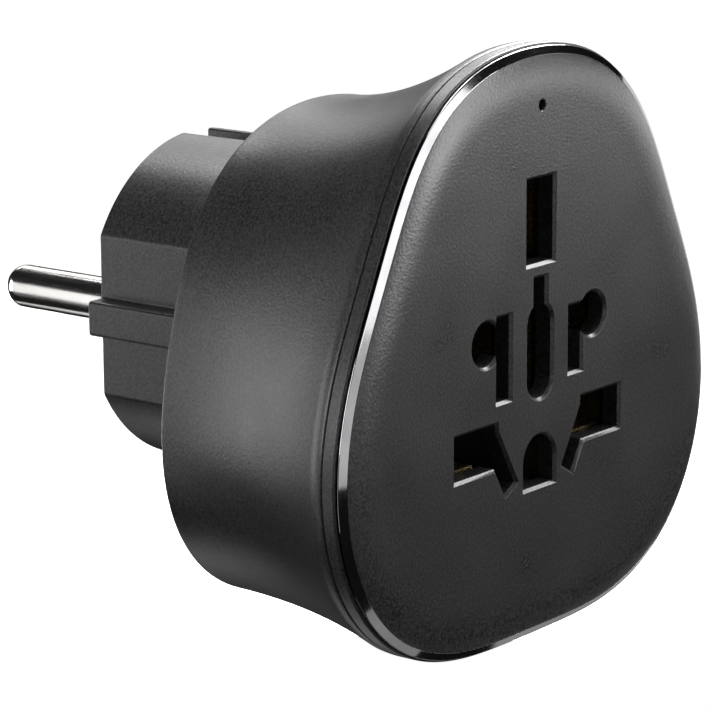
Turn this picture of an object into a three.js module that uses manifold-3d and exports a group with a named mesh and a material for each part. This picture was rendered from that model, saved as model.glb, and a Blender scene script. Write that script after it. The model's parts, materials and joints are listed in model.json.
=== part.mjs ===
// Universal travel adapter: a socket face that takes most of the world's plugs, on a two-pin
// European earthed plug.
//
// Millimetres, +Z up. The origin is the centre of the plug face, midway between the two pins.
// The pins point along +Y and the socket face looks along -Y. +X is on the right of somebody
// who faces the sockets, which is the line side; -X is the neutral side.

import * as THREE from 'three';
import { mergeVertices } from 'three/addons/utils/BufferGeometryUtils.js';
import Module from 'manifold-3d';

const wasm = await Module();
wasm.setup();

// ---- driving dimensions ----

const GAP = 0.3; // between pieces that meet

// stations along Y, from the wall to the socket face
const PIN_TIP = 19;
const SHELL_BACK = -17.7; // the plug stands this far out of the shell
const REAR_WALL = 2.2;
const FLANGE_THICK = 2;
const FACE = -46.2; // socket face
const HAIRLINE = FACE + 2.8; // joint between shell and rim frame
const FACE_THICK = 2.1;

// the body's outlines are closed curves round an axis at AXIS_Z: radius = sum of a[k] cos(k phi),
// with phi from straight up; the third term gives the face its three soft corners
const AXIS_Z = -2.1;
const FRONT_OUTLINE = [31.97, -0.1, -0.13, 2.4, -0.55, -0.2, -0.19, -0.08];
const REAR_OUTLINE = [27, -2, 0.25, 1, -0.85];
const FLARE = 1.88; // power of the flare from the rear outline to the front one
const FLARE_END = FACE + 3.8; // where the flare has reached the front outline
const WALL = 2;
const EDGE = 0.15; // broken edge at the back of the shell
const SEGMENTS = 72;

// plug
const PLUG_R = 18.1;
const PLUG_FLAT = 15.9; // from the centre to the flats on each side
const RIB_OUT = 18;
const RIB_HALF = 1.9;
const CHANNEL_HALF = 1.95;
const CHANNEL_FLOOR = 15.2;
const PIN_X = 9.5;
const PIN_R = 2.4;
const FRENCH_Z = 10;

// socket apertures, as their openings on the face; SOCKET_Z is the height of the line and
// neutral slots for rectangular pins
const SOCKET_Z = -9.1;
const BEVEL = 0.35;
const EARTH_SLOT = { halfWidth: 2.7, low: 8.4, high: 17.8 };
const ROUND_HOLE = { x: 9.4, z: 1.8, r: 2.63 };
const BLADE = { near: 4.87, far: 7.83, neutralLow: -4.9, neutralHigh: 4.5, lineLow: -4.1, lineHigh: 3.6 };
const CENTRE_SLOT = { r: 2.45, low: -5.8, high: 4.75, neckHalf: 1.38, neckTop: 7.5 };
const PIN_SLOT = { near: 7.25, far: 14.96, half: 2.65 };
const SLANT = { inner: [3.72, -13.6], outer: [6.11, -14.95], elbow: [7.94, -11.75], knee: [7.25, -7.5] };
const D_HOLE = { half: 3.03, bottom: -15.1, top: -9.05 };
const LED_Z = 24.9;
const LED_HOLE_R = 0.67;

// inside
const CARRIER = { front: FACE + FACE_THICK + GAP, back: -33.5, half: 17 };
const CONTACT = { front: -43.4, back: -34.4, thick: 0.6 };
const RETAINER = { front: CARRIER.back + GAP, back: -31.6, half: 16.9 };
const EARTH_BAR = { front: -31, back: -30.4 };
const BUSBAR = { front: -23.3, back: -22.5 };
const SIDE_POSTS = [[-19.9, 5], [19.9, 5]];
const LOWER_POSTS = [[-14.5, -19.5], [14.5, -19.5]];
const HOUSING_POSTS = [...SIDE_POSTS, ...LOWER_POSTS];
const CARRIER_POSTS = [[-12.8, 14], [12.8, 14]];
const PLUG_BOSSES = [[-17.3, -12.8], [17.3, -12.8]];
const POST_R = 2.7;
const CARRIER_POST_R = 2.4;
const POST_END = -30.3; // where the face's posts meet the shell's
const PIPE = { front: -43.7, back: -40.5, r: 1.2 };
const BOARD = { front: -39.1, back: -38.1, half: 4.8, low: 20.7, high: 25.5 };
const BOARD_POSTS = [[-3.8, 21.9], [3.8, 21.9]];
const BOARD_POST_R = 0.9;
const BOARD_HOLES = [[-3.2, 23.6], [3.2, 23.6]];
const PIPE_COLLAR = { wall: 0.6, end: -42 };
const SCREW = { shank: 1.1, hole: 1.4, head: 2.2, headThick: 1.6, clear: 1.45 };
const HOUSING_SCREW_LENGTH = 11;
const RETAINER_SCREW_LENGTH = 7.5;
const PLUG_SCREW_LENGTH = 6;
const HOLE_ROOM = 1; // a screw's hole runs on this far past its tip

// ---- materials ----

const paint = (color, roughness, metalness = 0) =>
  new THREE.MeshStandardMaterial({ color, roughness, metalness });
const casing = paint(0x3a3a3c, 0.62);
const facePlastic = paint(0x343436, 0.6);
const darkChrome = paint(0x4a4a4c, 0.12, 1);
const nickel = paint(0xcfccc6, 0.18, 1);
const brass = paint(0xb99a5b, 0.3, 1);
const insulator = paint(0x1d1d1f, 0.7);
const steel = paint(0x9a9a9c, 0.35, 1);
const lens = paint(0xe4e6e8, 0.15);
const board = paint(0x1f5a34, 0.5);
const ceramic = paint(0xc8ab84, 0.6);
const insulation = paint(0x8c1d18, 0.55);
const insulationBlue = paint(0x1d3f8c, 0.55);

const adapter = new THREE.Group();

// ---- solids ----

// a closed geometry as a manifold solid, turned right side out
function solid(geometry) {
  const plain = geometry.clone();
  plain.deleteAttribute('normal');
  plain.deleteAttribute('uv');
  const merged = mergeVertices(plain, 1e-5);
  const triangles = new Uint32Array(merged.index.array);
  if (signedVolume(merged) < 0) {
    triangles.reverse();
  }
  return new wasm.Manifold(new wasm.Mesh({
    numProp: 3,
    vertProperties: new Float32Array(merged.attributes.position.array),
    triVerts: triangles,
  }));
}

function signedVolume(geometry) {
  const at = geometry.attributes.position;
  const [a, b, c] = [new THREE.Vector3(), new THREE.Vector3(), new THREE.Vector3()];
  let sum = 0;
  for (let i = 0; i < geometry.index.count; i += 3) {
    a.fromBufferAttribute(at, geometry.index.getX(i));
    b.fromBufferAttribute(at, geometry.index.getX(i + 1));
    c.fromBufferAttribute(at, geometry.index.getX(i + 2));
    sum += a.dot(b.cross(c)) / 6;
  }
  return sum;
}

// a manifold solid as a geometry
function geometryOf(shape) {
  const mesh = shape.getMesh();
  const geometry = new THREE.BufferGeometry();
  geometry.setAttribute('position', new THREE.BufferAttribute(mesh.vertProperties, 3));
  geometry.setIndex(new THREE.BufferAttribute(mesh.triVerts, 1));
  geometry.computeVertexNormals();
  return geometry;
}

const union = (shapes) => shapes.reduce((whole, shape) => whole.add(shape));
const cut = (shape, cutters) => cutters.reduce((rest, cutter) => rest.subtract(cutter), shape);

function addPiece(name, shape, material) {
  const mesh = new THREE.Mesh(geometryOf(shape), material);
  mesh.name = name;
  adapter.add(mesh);
  return mesh;
}

// side faces between two rings of a skin whose rings all have the same count of points
function between(ring, next, count) {
  return Array.from({ length: count }, (_, i) => {
    const j = (i + 1) % count;
    const [a, b, c, d] = [ring * count + i, ring * count + j, next * count + j, next * count + i];
    return [a, b, c, a, c, d];
  }).flat();
}

function skin(rings, index) {
  const geometry = new THREE.BufferGeometry();
  const positions = rings.flat().flatMap((p) => [p.x, p.y, p.z]);
  geometry.setAttribute('position', new THREE.Float32BufferAttribute(positions, 3));
  geometry.setIndex(index);
  return solid(geometry);
}

// joins rings of points into a closed skin with flat end caps; flatten gives the plane of the caps
function loft(rings, flatten = (p) => new THREE.Vector2(p.x, p.z)) {
  const count = rings[0].length;
  const first = rings[0].map(flatten);
  const last = rings[rings.length - 1].map(flatten);
  const shift = (rings.length - 1) * count;
  const clockwise = THREE.ShapeUtils.area(first) < 0;
  const cap = (points, start, flip) => THREE.ShapeUtils.triangulateShape(points, [])
    .flatMap(([a, b, c]) => (flip ? [start + c, start + b, start + a] : [start + a, start + b, start + c]));
  const sides = rings.slice(1).flatMap((_, k) => between(k, k + 1, count));
  return skin(rings, [...sides, ...cap(first, 0, !clockwise), ...cap(last, shift, clockwise)]);
}

// joins rings of points into a tube that closes on itself
function closedLoft(rings) {
  const count = rings[0].length;
  return skin(rings, rings.flatMap((_, k) => between(k, (k + 1) % rings.length, count)));
}

// a flat outline in X and Z, pushed from one Y station to another
function slab(points, from, to) {
  const ring = (y) => points.map(([x, z]) => new THREE.Vector3(x, y, z));
  return loft([ring(Math.min(from, to)), ring(Math.max(from, to))]);
}

const rectangle = (x0, x1, z0, z1) => [[x0, z0], [x1, z0], [x1, z1], [x0, z1]];
const box = (x0, x1, y0, y1, z0, z1) => slab(rectangle(x0, x1, z0, z1), y0, y1);

const arc = (cx, cz, r, from, to, steps) =>
  Array.from({ length: steps + 1 }, (_, i) => {
    const angle = THREE.MathUtils.degToRad(from + ((to - from) * i) / steps);
    return [cx + r * Math.cos(angle), cz + r * Math.sin(angle)];
  });

const circle = (cx, cz, r, steps = 20) => arc(cx, cz, r, 0, 360, steps).slice(0, steps);
const rod = (cx, cz, r, y0, y1, steps = 20) => slab(circle(cx, cz, r, steps), y0, y1);
const mirrored = (points) => points.map(([x, z]) => [-x, z]).reverse();
const onSide = (side, points) => (side > 0 ? points : mirrored(points));

// a turned piece along Y: pairs of radius and Y station, on an axis at x, z
function turned(profile, x, z, steps = 24) {
  const points = profile.map(([r, y]) => new THREE.Vector2(r, y));
  return solid(new THREE.LatheGeometry(points, steps)).translate([x, 0, z]);
}

// moves each side of an outline outwards by a distance, or inwards if it is negative
function grown(points, distance) {
  const turn = Math.sign(THREE.ShapeUtils.area(points.map(([x, z]) => new THREE.Vector2(x, z))));
  return points.map((point, i) => {
    const before = points[(i + points.length - 1) % points.length];
    const after = points[(i + 1) % points.length];
    const inDir = new THREE.Vector2(point[0] - before[0], point[1] - before[1]).normalize();
    const outDir = new THREE.Vector2(after[0] - point[0], after[1] - point[1]).normalize();
    const n1 = new THREE.Vector2(inDir.y, -inDir.x).multiplyScalar(turn);
    const n2 = new THREE.Vector2(outDir.y, -outDir.x).multiplyScalar(turn);
    const mitre = n1.clone().add(n2);
    mitre.multiplyScalar(distance / (mitre.lengthSq() / 2));
    return [point[0] + mitre.x, point[1] + mitre.y];
  });
}

// sheet metal seen edge on: a path in X and Z thickened to an outline
function strip(path, thickness) {
  const half = thickness / 2;
  const side = (sign) => path.map((point, i) => {
    const before = path[Math.max(i - 1, 0)];
    const after = path[Math.min(i + 1, path.length - 1)];
    const inDir = new THREE.Vector2(point[0] - before[0], point[1] - before[1]).normalize();
    const outDir = new THREE.Vector2(after[0] - point[0], after[1] - point[1]).normalize();
    const a = i === 0 ? outDir : inDir;
    const b = i === path.length - 1 ? inDir : outDir;
    const mitre = new THREE.Vector2(a.y + b.y, -a.x - b.x);
    mitre.multiplyScalar((sign * half) / (mitre.lengthSq() / 2));
    return [point[0] + mitre.x, point[1] + mitre.y];
  });
  return [...side(1), ...side(-1).reverse()];
}

// ---- the body's curved outline ----

const radiusAt = (outline, phi) => outline.reduce((sum, a, k) => sum + a * Math.cos(k * phi), 0);

// 0 at the back of the shell and 1 where the flare ends
function flareAt(y) {
  const along = THREE.MathUtils.clamp((SHELL_BACK - y) / (SHELL_BACK - FLARE_END), 0, 1);
  return along ** FLARE;
}

// the body's outline at a Y station, moved outwards by offset; shaped as it is at shapeY
function bodyRing(y, offset = 0, shapeY = y) {
  const blend = flareAt(shapeY);
  return Array.from({ length: SEGMENTS }, (_, i) => {
    const phi = (2 * Math.PI * i) / SEGMENTS;
    const radius = (1 - blend) * radiusAt(REAR_OUTLINE, phi) + blend * radiusAt(FRONT_OUTLINE, phi) + offset;
    return new THREE.Vector3(radius * Math.sin(phi), y, AXIS_Z + radius * Math.cos(phi));
  });
}

// rings of the front outline, from pairs of offset and distance behind the face
const frontRings = (profile) => profile.map(([offset, depth]) => bodyRing(FACE + depth, offset, FACE));

// ---- rear shell ----

const plugOutline = (grow) => {
  const r = PLUG_R + grow;
  const flat = PLUG_FLAT + grow;
  const corner = THREE.MathUtils.radToDeg(Math.acos(flat / r));
  const ribOut = RIB_OUT + grow;
  const ribHalf = RIB_HALF + grow;
  return [
    [ribOut, -ribHalf], [ribOut, ribHalf], [flat, ribHalf],
    ...arc(0, 0, r, corner, 180 - corner, 22),
    [-flat, ribHalf], [-ribOut, ribHalf], [-ribOut, -ribHalf], [-flat, -ribHalf],
    ...arc(0, 0, r, 180 + corner, 360 - corner, 22),
    [flat, -ribHalf],
  ];
};

const SEAT = -27; // floor of each housing screw's recess
const SHELL_POST_R = 3.3;
const RECESS_R = 2.5;
const PLUG_BOSS_R = 2.2;
const PLUG_BOSS_END = -23.9;

function rearShell() {
  const stations = [0, 0.1, 0.24, 0.4, 0.55, 0.68, 0.79, 0.88, 0.95, 1];
  const yAt = (t) => SHELL_BACK + t * (HAIRLINE + GAP / 2 - SHELL_BACK);
  const outside = loft([
    bodyRing(SHELL_BACK, -EDGE),
    bodyRing(SHELL_BACK - EDGE),
    ...stations.slice(1).map((t) => bodyRing(yAt(t))),
  ]);
  const innerBack = SHELL_BACK - REAR_WALL;
  const inside = loft([
    bodyRing(innerBack, -WALL),
    ...stations.slice(2, -1).map((t) => bodyRing(yAt(t), -WALL)),
    bodyRing(FACE, -WALL),
  ]);
  const rabbet = loft(frontRings([[-1.95, 4.6], [-0.9, 2.7]]));
  const posts = [
    ...HOUSING_POSTS.map(([x, z]) => rod(x, z, SHELL_POST_R, innerBack + 1, POST_END + GAP)),
    ...PLUG_BOSSES.map(([x, z]) => rod(x, z, PLUG_BOSS_R, innerBack + 1, PLUG_BOSS_END)),
  ];
  const holes = [
    ...HOUSING_POSTS.map(([x, z]) => rod(x, z, RECESS_R, SEAT, SHELL_BACK + 1)),
    ...HOUSING_POSTS.map(([x, z]) => rod(x, z, SCREW.clear, POST_END - 1, SEAT + 1)),
    ...PLUG_BOSSES.map(([x, z]) => rod(x, z, SCREW.hole, PLUG_BOSS_END - 1, innerBack + 0.7)),
    slab(plugOutline(GAP), innerBack - 1, SHELL_BACK + 1),
  ];
  // the posts merge into the side wall, so what would stand outside it is trimmed off
  const inShell = union(posts).intersect(outside);
  return cut(cut(outside, [inside, rabbet]).add(inShell), holes);
}

// ---- front pieces ----

// closed sections of the two rings: offset from the front outline, distance behind the face
const RIM_SECTION = [
  [-0.45, 1.5], [-0.12, 1.5], [0, 1.62], [0, 2.65], [-1.3, 2.65], [-2.25, 4.3], [-3.4, 4.3], [-3.4, 2.4],
  [-0.45, 2.4],
];
const TRIM_SECTION = [
  [-1.12, 0.5], [-0.34, 0.98], [-0.26, 1.06], [-0.34, 1.2], [-0.75, 1.2], [-0.75, 2.1], [-1.45, 2.1],
  [-1.45, 1.2], [-1.12, 1.2],
];

// every aperture as an outline on the face
const dOutline = () => {
  const { half, bottom, top } = D_HOLE;
  return [[-half, bottom], [half, bottom], ...arc(0, top - half, half, 0, 180, 12)];
};
const centreOutline = () => {
  const { r, low, high, neckHalf, neckTop } = CENTRE_SLOT;
  const lean = THREE.MathUtils.radToDeg(Math.acos(neckHalf / r));
  return [
    ...arc(0, low + r, r, 180, 360, 10),
    ...arc(0, high - r, r, 0, lean, 4),
    [neckHalf, neckTop], [-neckHalf, neckTop],
    ...arc(0, high - r, r, 180 - lean, 180, 4),
  ];
};
// the round hole and the blade slot beside it run into each other
const bladeOutline = (side) => {
  const { x, z, r } = ROUND_HOLE;
  const low = side > 0 ? BLADE.lineLow : BLADE.neutralLow;
  const high = side > 0 ? BLADE.lineHigh : BLADE.neutralHigh;
  const lean = THREE.MathUtils.radToDeg(Math.acos((x - BLADE.far) / r));
  const slotIsHigher = high > z + r * Math.sin(THREE.MathUtils.degToRad(lean));
  const end = slotIsHigher ? 180 - lean : 180 - THREE.MathUtils.radToDeg(Math.asin((high - z) / r));
  return onSide(side, [
    [BLADE.near, low], [BLADE.far, low], ...arc(x, z, r, lean - 180, end, 16),
    ...(slotIsHigher ? [[BLADE.far, high]] : []), [BLADE.near, high],
  ]);
};
const pinOutline = (side) => onSide(side, [
  [PIN_SLOT.near, SOCKET_Z + PIN_SLOT.half], SLANT.knee, SLANT.inner, SLANT.outer, SLANT.elbow,
  [PIN_SLOT.far, SOCKET_Z - PIN_SLOT.half], [PIN_SLOT.far, SOCKET_Z + PIN_SLOT.half],
]);
const earthOutline = () => {
  const { halfWidth, low, high } = EARTH_SLOT;
  return rectangle(-halfWidth, halfWidth, low, high);
};

// an aperture with its edge bevelled where it meets the face
function aperture(outline) {
  const narrow = grown(outline, -BEVEL);
  const ring = (points, depth) => points.map(([x, z]) => new THREE.Vector3(x, FACE + depth, z));
  return loft([ring(outline, -1), ring(outline, 0), ring(narrow, BEVEL), ring(narrow, FACE_THICK + 1)]);
}

function facePlate() {
  const plate = loft(frontRings([
    [-6.2, 0], [-4.4, 0.05], [-2.9, 0.17], [-1.9, 0.33], [-1.42, 0.52], [-1.42, 0.88],
    [-1.78, 0.88], [-1.78, FACE_THICK],
  ]));
  const back = FACE + FACE_THICK;
  const posts = [
    ...HOUSING_POSTS.map(([x, z]) => rod(x, z, POST_R, back - 1, POST_END)),
    ...CARRIER_POSTS.map(([x, z]) => rod(x, z, CARRIER_POST_R, back - 1, CARRIER.back)),
    ...BOARD_POSTS.map(([x, z]) => rod(x, z, BOARD_POST_R, back - 1, BOARD.front - GAP, 10)),
    rod(0, LED_Z, PIPE.r + GAP + PIPE_COLLAR.wall, back - 1, PIPE_COLLAR.end),
  ];
  const housingHoleEnd = SEAT + GAP - HOUSING_SCREW_LENGTH - HOLE_ROOM;
  const carrierHoleEnd = RETAINER.back + GAP - RETAINER_SCREW_LENGTH - HOLE_ROOM;
  const screwHoles = [
    ...HOUSING_POSTS.map(([x, z]) => rod(x, z, SCREW.hole, housingHoleEnd, POST_END + 1, 12)),
    ...CARRIER_POSTS.map(([x, z]) => rod(x, z, SCREW.hole, carrierHoleEnd, CARRIER.back + 1, 12)),
  ];
  const openings = [
    earthOutline(), centreOutline(), dOutline(),
    ...[1, -1].flatMap((side) => [bladeOutline(side), pinOutline(side)]),
  ].map(aperture);
  return cut(union([plate, ...posts]), [
    ...screwHoles, ...openings, rod(0, LED_Z, LED_HOLE_R, FACE - 1, back + 1, 14),
    rod(0, LED_Z, PIPE.r + GAP, back, PIPE_COLLAR.end + 1),
  ]);
}

addPiece('rear_shell', rearShell(), casing);
addPiece('rim_frame', closedLoft(frontRings(RIM_SECTION)), casing);
addPiece('trim_ring', closedLoft(frontRings(TRIM_SECTION)), darkChrome);
addPiece('face_plate', facePlate(), facePlastic);

// ---- plug ----

const FLANGE_FRONT = SHELL_BACK - REAR_WALL - GAP;
const FLANGE_BACK = FLANGE_FRONT - FLANGE_THICK;
const FLANGE_R = 20.3;
const BOSS_END = -20; // where the bosses round the pins end
const CUP_R = 3.5; // the cups that sit over the shell's bosses
const CUP_END = PLUG_BOSS_END - GAP - 2;
const SLEEVE = { outer: 3.1, inner: 2.5, tail: 1, end: -16 };
const HOLLOW_R = 13.4;
const PLUG_FLOOR = 3; // thickness behind the plug face
const PIN_BOSS_R = 4.4;
const FRENCH_BOSS_R = 4.6;
const FRENCH_BOSS_END = -18.5;
const TAIL_SLOT_R = 17;

function plugBody() {
  const flange = cut(rod(0, 0, FLANGE_R, FLANGE_BACK, FLANGE_FRONT, 48), SIDE_POSTS.map(
    ([x, z]) => rod(x, z, SHELL_POST_R + GAP, FLANGE_BACK - 1, FLANGE_FRONT + 1),
  ));
  const cups = PLUG_BOSSES.map(([x, z]) => rod(x, z, CUP_R, CUP_END, FLANGE_FRONT));
  // hollow from behind, but for a boss round each pin and round the sleeve
  const hollow = cut(rod(0, 0, HOLLOW_R, FLANGE_BACK - 1, -PLUG_FLOOR, 36), [
    ...[-PIN_X, PIN_X].map((x) => rod(x, 0, PIN_BOSS_R, BOSS_END, 0)),
    rod(0, FRENCH_Z, FRENCH_BOSS_R, FRENCH_BOSS_END, 0),
  ]);
  const pinHoles = [-PIN_X, PIN_X].flatMap((x) => [
    rod(x, 0, PIN_BOSS_R + 0.5, FLANGE_BACK - 1, BOSS_END),
    rod(x, 0, PIN_R + GAP, FLANGE_BACK - 1, 1, 24),
  ]);
  const sleeveHole = [
    rod(0, FRENCH_Z, SLEEVE.outer + GAP, SLEEVE.end - GAP, 1, 24),
    rod(0, FRENCH_Z, SLEEVE.tail + GAP, FLANGE_BACK - 1, SLEEVE.end, 12),
  ];
  // open at the plug face, and narrower where the clip's tail goes through the flange
  const channels = [1, -1].map((end) => {
    const [low, high] = [end * CHANNEL_FLOOR, end * (FLANGE_R + 1)].sort((a, b) => a - b);
    const within = (r, y0, y1) => rod(0, 0, r, y0, y1, 48);
    return box(-CHANNEL_HALF, CHANNEL_HALF, FLANGE_BACK - 1, 1, low, high)
      .intersect(union([
        within(PLUG_R + 1, FLANGE_FRONT, 1),
        within(TAIL_SLOT_R, FLANGE_BACK - 1, FLANGE_FRONT + 1),
      ]));
  });
  const cupHoles = PLUG_BOSSES.flatMap(([x, z]) => [
    rod(x, z, PLUG_BOSS_R + GAP, PLUG_BOSS_END - GAP, FLANGE_FRONT + 0.1),
    rod(x, z, SCREW.clear, CUP_END - 1, PLUG_BOSS_END, 12),
  ]);
  return cut(union([slab(plugOutline(0), FLANGE_FRONT - 1, 0), flange, ...cups]), [
    hollow, ...pinHoles, ...sleeveHole, ...channels, ...cupHoles,
  ]);
}

const PIN_COLLAR_R = 3.4;
const PIN_TAIL_R = 1.5;
const RIVET_R = 2.2;
const RIVET_HIGH = 0.8;
const DOME = 2.2; // length of the pin's rounded tip

// tip, shank, collar behind the boss, tail through the busbar and its riveted head
function pin(x) {
  const dome = Array.from({ length: 7 }, (_, i) => {
    const angle = (Math.PI / 2) * (1 - i / 6);
    return [PIN_R * Math.cos(angle), PIN_TIP - DOME + DOME * Math.sin(angle)];
  });
  dome[0][0] = 0;
  const profile = [
    ...dome, [PIN_R, BOSS_END - GAP],
    [PIN_COLLAR_R, BOSS_END - GAP], [PIN_COLLAR_R, BUSBAR.back + GAP],
    [PIN_TAIL_R, BUSBAR.back + GAP], [PIN_TAIL_R, BUSBAR.front - GAP],
    [RIVET_R, BUSBAR.front - GAP], [RIVET_R - 0.2, BUSBAR.front - RIVET_HIGH], [0, BUSBAR.front - RIVET_HIGH],
  ];
  return turned(profile.reverse(), x, 0);
}

const CLIP_THICK = 0.7;
const CLIP_HALF = CHANNEL_HALF - GAP;
const CLIP_BOW = 0.9;

// a spring strip along a channel, bowed outwards in the middle, with a straight tail inside
function earthClip(end) {
  const low = CHANNEL_FLOOR + GAP;
  const outside = [
    [-23.2, low], [-19, low], [-15, low + 0.5], [-10, low + CLIP_BOW], [-5, low + 0.5], [-1.2, low],
  ];
  const outline = [...outside, ...outside.map(([y, z]) => [y, z + CLIP_THICK]).reverse()];
  const side = (x) => outline.map(([y, z]) => new THREE.Vector3(x, y, end * z));
  return loft([side(-CLIP_HALF), side(CLIP_HALF)], (p) => new THREE.Vector2(p.y, p.z));
}

// open at the wall end, with a tail that meets the earth bridge
function frenchSleeve() {
  const { outer, inner, tail, end } = SLEEVE;
  const profile = [
    [0, BUSBAR.back + GAP], [tail, BUSBAR.back + GAP], [tail, end],
    [outer, end], [outer, -0.4], [inner + 0.3, -0.4], [inner, -0.8], [inner, end + 1], [0, end + 1],
  ];
  return turned(profile, 0, FRENCH_Z);
}

addPiece('plug_body', plugBody(), casing);
addPiece('line_pin', pin(PIN_X), nickel);
addPiece('neutral_pin', pin(-PIN_X), nickel);
addPiece('upper_earth_clip', earthClip(1), nickel);
addPiece('lower_earth_clip', earthClip(-1), nickel);
addPiece('french_earth_sleeve', frenchSleeve(), nickel);
addPiece('earth_bridge', box(-3, 3, -23.1, BUSBAR.back, -CHANNEL_FLOOR, CHANNEL_FLOOR), brass);

// ---- contacts ----

const upperPocket = [[3.95, -5.3], [13, -5.3], [13, 6.1], [3.95, 6.1]];
const lowerPocket = [
  [6.7, -5.9], [6.7, -8], [4, -12.8], [4, -14.1], [6.2, -15.5], [7.45, -15.5], [9.1, -12.4], [16.1, -12.4],
  [16.1, -5.9],
];
const earthPockets = [
  rectangle(-3.1, 3.1, 8.3, 18.1),
  rectangle(-3.05, 3.05, -6.5, 7.6),
  rectangle(-3.35, 3.35, -16.1, -8),
];

// where the contacts' tails run back to the busbars, as x0, x1, z0, z1
const UPPER_TAIL = [12, 12.6, 2.6, 5];
const LOWER_TAIL = [15, 15.6, -8.8, -6.9];
const EARTH_TAILS = {
  uk: [2.2, 2.8, 9.4, 11.4],
  centre: [2.15, 2.75, -4, -2],
  us: [-0.6, 1.4, -9.25, -8.75],
};
const TAIL_END = -31;
const LEG = 0.7; // thickness of the busbars' legs, which stand beside the tails

const sideBox = (side, x0, x1, y0, y1, z0, z1) =>
  (side > 0 ? box(x0, x1, y0, y1, z0, z1) : box(-x1, -x0, y0, y1, z0, z1));

function blockOutline(half) {
  const right = [[11, -17.6], [half, -13], [half, 16], [12, 20]];
  return [...right, ...mirrored(right)];
}

// what stands clear of the four housing posts and is pierced for the carrier's own two
function housingBlock(half, front, back, postHole) {
  return cut(slab(blockOutline(half), front, back), [
    ...HOUSING_POSTS.map(([x, z]) => rod(x, z, POST_R + GAP, front - 1, back + 1)),
    ...CARRIER_POSTS.map(([x, z]) => rod(x, z, postHole, front - 1, back + 1)),
  ]);
}

function carrier() {
  const { half, front, back } = CARRIER;
  const pockets = [
    upperPocket, lowerPocket, mirrored(upperPocket), mirrored(lowerPocket), ...earthPockets,
  ];
  const block = housingBlock(half, front, back, CARRIER_POST_R + GAP);
  return cut(block, pockets.map((outline) => slab(outline, front - 1, back + 1)));
}

// covers the edges of every contact but leaves the way of each pin open
function retainer() {
  const { half, front, back } = RETAINER;
  const pinWindow = [
    [7, -6.8], [7, -8], [4.3, -12.9], [4.3, -13.9], [6.2, -15.1], [8.2, -11.9], [14.5, -11.9], [14.5, -6.8],
  ];
  const around = ([x0, x1, z0, z1], reach) => rectangle(x0 - GAP, x1 + reach, z0 - GAP, z1 + GAP);
  const ownSide = [
    rectangle(4.6, 12.4, -5.1, 5.3), pinWindow, around(UPPER_TAIL, 2 * GAP + LEG), around(LOWER_TAIL, 3),
  ];
  const windows = [
    ...ownSide, ...ownSide.map(mirrored),
    rectangle(-2.4, 2.4, 8.9, 17.4), rectangle(-2.4, 2.4, -5.8, 7.5), rectangle(-2.7, 2.7, -15.1, -9.1),
    ...Object.values(EARTH_TAILS).map((tail) => around(tail, GAP)),
  ];
  const block = housingBlock(half, front, back, SCREW.clear);
  return cut(block, windows.map((outline) => slab(outline, front - 1, back + 1)));
}

// a strip bent round the pins it grips, with a tail that runs back to a busbar
function contact(side, path, thickness, [x0, x1, z0, z1], tailEnd) {
  return slab(onSide(side, strip(path, thickness)), CONTACT.front, CONTACT.back)
    .add(sideBox(side, x0, x1, CONTACT.back - 1, tailEnd, z0, z1));
}

// grips round pins and upright blades
const upperPath = [[5, -4.9], [4.6, -4.3], [4.6, 5.4], [12.3, 5.4], [12.3, -1.2], [12, -2]];
const upperContact = (side) => contact(side, upperPath, CONTACT.thick, UPPER_TAIL, TAIL_END);

// grips rectangular pins, and runs on along slanted blades
const lowerPath = [[7.9, -6.6], [15.3, -6.6], [15.3, -11.6], [8.35, -11.6], [6.55, -14.75]];
const lowerContact = (side) => contact(side, lowerPath, CONTACT.thick, LOWER_TAIL, TAIL_END);

const earthContact = (path, thickness, tail) => contact(1, path, thickness, tail, EARTH_BAR.front - GAP);
const ukPath = [[2.5, 9.2], [2.5, 17.5], [-2.5, 17.5], [-2.5, 9.2]];
const centrePath = [[-2.45, 3.4], [-2.45, -5.9], [2.45, -5.9], [2.45, 3.4]];
const usPath = [[2, -9], [-2.8, -9], [-2.8, -15.1], [2, -15.1]];
const ukEarth = () => earthContact(ukPath, CONTACT.thick, EARTH_TAILS.uk);
const centreEarth = () => earthContact(centrePath, CONTACT.thick, EARTH_TAILS.centre);
const usEarth = () => earthContact(usPath, 0.5, EARTH_TAILS.us);

// from the pin's tail to the two clips on its side
function busbar(side) {
  const outline = [
    [7, -2.5], [13.2, -2.5], [15.4, -8.8], [16.7, -8.8], [16.7, -6.9],
    [14.6, 1.5], [13.7, 5], [12.4, 5], [12.4, 2.6], [7, 2.6],
  ];
  const leg = ([, x1, z0, z1]) =>
    sideBox(side, x1 + GAP, x1 + GAP + LEG, RETAINER.front, BUSBAR.back, z0, z1);
  return union([
    slab(onSide(side, outline), BUSBAR.front, BUSBAR.back)
      .subtract(rod(side * PIN_X, 0, PIN_TAIL_R + GAP, BUSBAR.front - 1, BUSBAR.back + 1)),
    leg(UPPER_TAIL),
    leg(LOWER_TAIL),
  ]);
}

// a ladder behind the retainer with a leg to the lower earth clip
function earthBusbar() {
  const { front, back } = EARTH_BAR;
  const windows = [[-2.4, 2.4, 8.6, 17.6], [-2.4, 2.4, -6, 7.6], [-2.9, 2.9, -15, -9]];
  const cutters = windows.map(([x0, x1, z0, z1]) => box(x0, x1, front - 1, back + 1, z0, z1));
  const leg = box(-2, 2, back - 0.1, BUSBAR.front, -17.1, -16.5);
  return cut(box(-4, 4, front, back, -17.3, 18.6), cutters).add(leg);
}

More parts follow.
